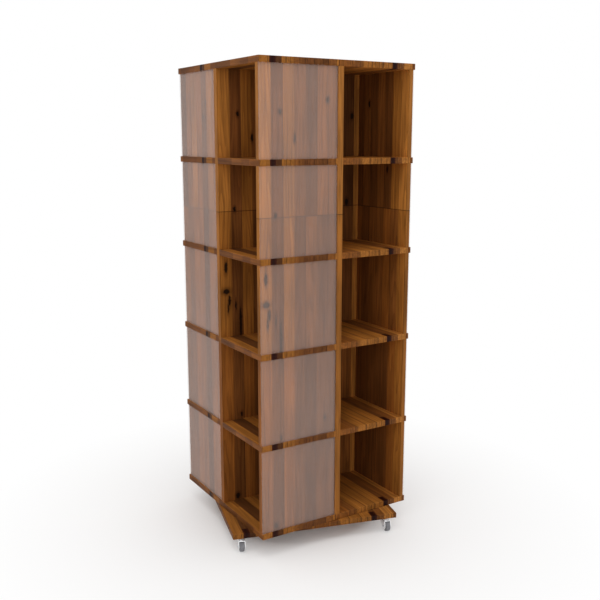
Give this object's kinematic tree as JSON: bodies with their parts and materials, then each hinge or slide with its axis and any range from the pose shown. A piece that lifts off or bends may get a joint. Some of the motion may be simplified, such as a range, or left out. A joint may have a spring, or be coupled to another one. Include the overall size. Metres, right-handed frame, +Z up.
{
  "type": "rotating media tower",
  "caption": "Tall square shelf tower with open and paned compartments on every side, turning on a ring bearing over a castered base board.",
  "frame": {"origin": "on the floor, under the spin axis of the tower", "axes": "+Z up along the spin axis; the front face of the tower looks along -Y and the right face along +X; the base board is turned 15 degrees clockwise under the tower, seen from above"},
  "size_m": [0.8066, 0.8066, 1.8015],
  "materials": {
    "stave_wood": "satin oiled edge-glued staves",
    "dowel_wood": "bare beech",
    "acrylic": "milky translucent",
    "chrome": "bright",
    "bright_steel": "zinc plated",
    "ring_aluminium": "turned",
    "cage_plastic": "matte",
    "grey_rubber": "satin"
  },
  "bodies": {
    "base": {"base_panel": "stave_wood", "bearing_outer_ring": "ring_aluminium", "bearing_base_screws": "bright_steel", "caster_screws": "bright_steel", "caster_plate_front_left": "chrome", "caster_plate_front_right": "chrome", "caster_plate_back_right": "chrome", "caster_plate_back_left": "chrome"},
    "ball_cage": {"bearing_balls": "bright_steel", "bearing_cage": "cage_plastic"},
    "carousel": {"bottom_panel": "stave_wood", "shelf_1": "stave_wood", "shelf_2": "stave_wood", "shelf_3": "stave_wood", "shelf_4": "stave_wood", "top_panel": "stave_wood", "centre_post": "stave_wood", "divider_front": "stave_wood", "divider_right": "stave_wood", "divider_back": "stave_wood", "divider_left": "stave_wood", "wall_front_1": "stave_wood", "wall_front_2": "stave_wood", "wall_front_3": "stave_wood", "wall_front_4": "stave_wood", "wall_front_5": "stave_wood", "wall_right_1": "stave_wood", "wall_right_2": "stave_wood", "wall_right_3": "stave_wood", "wall_right_4": "stave_wood", "wall_right_5": "stave_wood", "wall_back_1": "stave_wood", "wall_back_2": "stave_wood", "wall_back_3": "stave_wood", "wall_back_4": "stave_wood", "wall_back_5": "stave_wood", "wall_left_1": "stave_wood", "wall_left_2": "stave_wood", "wall_left_3": "stave_wood", "wall_left_4": "stave_wood", "wall_left_5": "stave_wood", "panes_front": "acrylic", "panes_right": "acrylic", "panes_back": "acrylic", "panes_left": "acrylic", "bearing_inner_ring": "ring_aluminium", "bearing_tower_screws": "bright_steel", "divider_dowels": "dowel_wood"},
    "fork_front_left": {"caster_fork_front_left": "chrome", "caster_axle_front_left": "chrome"},
    "wheel_front_left": {"caster_wheel_front_left": "grey_rubber"},
    "fork_front_right": {"caster_fork_front_right": "chrome", "caster_axle_front_right": "chrome"},
    "wheel_front_right": {"caster_wheel_front_right": "grey_rubber"},
    "fork_back_right": {"caster_fork_back_right": "chrome", "caster_axle_back_right": "chrome"},
    "wheel_back_right": {"caster_wheel_back_right": "grey_rubber"},
    "fork_back_left": {"caster_fork_back_left": "chrome", "caster_axle_back_left": "chrome"},
    "wheel_back_left": {"caster_wheel_back_left": "grey_rubber"}
  },
  "joints": [
    {"name": "carousel_spin", "type": "hinge", "parent": "base", "child": "carousel", "pos_m": [0, 0, 0.0765], "axis": [0, 0, 1], "continuous": true},
    {"name": "cage_spin", "type": "hinge", "parent": "base", "child": "ball_cage", "pos_m": [0, 0, 0.0765], "axis": [0, 0, 1], "continuous": true},
    {"name": "caster_swivel_front_left", "type": "hinge", "parent": "base", "child": "fork_front_left", "pos_m": [-0.35824, -0.20683, 0.04855], "axis": [0, 0, 1], "continuous": true},
    {"name": "wheel_spin_front_left", "type": "hinge", "parent": "fork_front_left", "child": "wheel_front_left", "pos_m": [-0.36645, -0.22938, 0.02], "axis": [0.9397, -0.342, 0], "continuous": true},
    {"name": "caster_swivel_front_right", "type": "hinge", "parent": "base", "child": "fork_front_right", "pos_m": [0.20683, -0.35824, 0.04855], "axis": [0, 0, 1], "continuous": true},
    {"name": "wheel_spin_front_right", "type": "hinge", "parent": "fork_front_right", "child": "wheel_front_right", "pos_m": [0.20184, -0.38171, 0.02], "axis": [0.9781, -0.2079, 0], "continuous": true},
    {"name": "caster_swivel_back_right", "type": "hinge", "parent": "base", "child": "fork_back_right", "pos_m": [0.35824, 0.20683, 0.04855], "axis": [0, 0, 1], "continuous": true},
    {"name": "wheel_spin_back_right", "type": "hinge", "parent": "fork_back_right", "child": "wheel_back_right", "pos_m": [0.35325, 0.18335, 0.02], "axis": [0.9781, -0.2079, 0], "continuous": true},
    {"name": "caster_swivel_back_left", "type": "hinge", "parent": "base", "child": "fork_back_left", "pos_m": [-0.20683, 0.35824, 0.04855], "axis": [0, 0, 1], "continuous": true},
    {"name": "wheel_spin_back_left", "type": "hinge", "parent": "fork_back_left", "child": "wheel_back_left", "pos_m": [-0.21504, 0.33569, 0.02], "axis": [0.9397, -0.342, 0], "continuous": true}
  ],
  "couplings": [
    {"joint": "cage_spin", "follows": "carousel_spin", "ratio": 0.4932}
  ]
}
